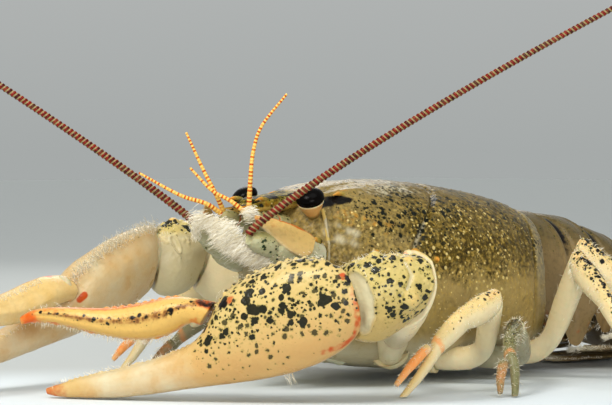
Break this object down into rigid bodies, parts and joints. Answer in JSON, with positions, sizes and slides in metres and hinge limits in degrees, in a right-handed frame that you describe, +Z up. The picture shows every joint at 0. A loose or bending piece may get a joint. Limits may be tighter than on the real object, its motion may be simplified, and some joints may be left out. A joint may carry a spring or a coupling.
{
  "type": "crayfish",
  "caption": "Life-size still crayfish standing low on its walking legs, with lowered claws, spread feelers and a tail curled under.",
  "frame": {"origin": "middle of the underside of the animal's box, on the floor it stands on", "axes": "+Z up, the head towards -Y, the animal's left side towards +X"},
  "size_m": [0.1226, 0.129, 0.0698],
  "materials": {
    "shell": "smooth horny shell, half gloss",
    "tail_shell": "smooth horny shell, half gloss",
    "claw_shell": "tubercled horny shell, half gloss",
    "limb_shell": "thin horny shell, half gloss",
    "feeler": "ringed horny shell",
    "mouth_shell": "thin horny shell, bristled",
    "eye": "wet gloss"
  },
  "bodies": {
    "root": {"abdomen_1": "tail_shell", "abdomen_2": "tail_shell", "abdomen_3": "tail_shell", "abdomen_4": "tail_shell", "abdomen_5": "tail_shell", "abdomen_6": "tail_shell", "antenna_base_left": "limb_shell", "antenna_base_right": "limb_shell", "antenna_left": "feeler", "antenna_right": "feeler", "antennal_scale_left": "limb_shell", "antennal_scale_right": "limb_shell", "antennule_left": "feeler", "antennule_right": "feeler", "carapace": "shell", "claw_arm_left": "limb_shell", "claw_arm_right": "limb_shell", "claw_finger_left": "claw_shell", "claw_finger_right": "claw_shell", "claw_palm_left": "claw_shell", "claw_palm_right": "claw_shell", "claw_wrist_left": "claw_shell", "claw_wrist_right": "claw_shell", "eye_left": "eye", "eye_right": "eye", "eyestalk_left": "limb_shell", "eyestalk_right": "limb_shell", "leg_2_lower_left": "limb_shell", "leg_2_lower_right": "limb_shell", "leg_2_tip_left": "limb_shell", "leg_2_tip_right": "limb_shell", "leg_2_upper_left": "limb_shell", "leg_2_upper_right": "limb_shell", "leg_3_lower_left": "limb_shell", "leg_3_lower_right": "limb_shell", "leg_3_tip_left": "limb_shell", "leg_3_tip_right": "limb_shell", "leg_3_upper_left": "limb_shell", "leg_3_upper_right": "limb_shell", "leg_4_lower_left": "limb_shell", "leg_4_lower_right": "limb_shell", "leg_4_tip_left": "limb_shell", "leg_4_tip_right": "limb_shell", "leg_4_upper_left": "limb_shell", "leg_4_upper_right": "limb_shell", "leg_5_lower_left": "limb_shell", "leg_5_lower_right": "limb_shell", "leg_5_tip_left": "limb_shell", "leg_5_tip_right": "limb_shell", "leg_5_upper_left": "limb_shell", "leg_5_upper_right": "limb_shell", "maxilliped_left": "mouth_shell", "maxilliped_right": "mouth_shell", "telson": "tail_shell", "uropod_inner_left": "tail_shell", "uropod_inner_right": "tail_shell", "uropod_outer_left": "tail_shell", "uropod_outer_right": "tail_shell"}
  },
  "joints": []
}
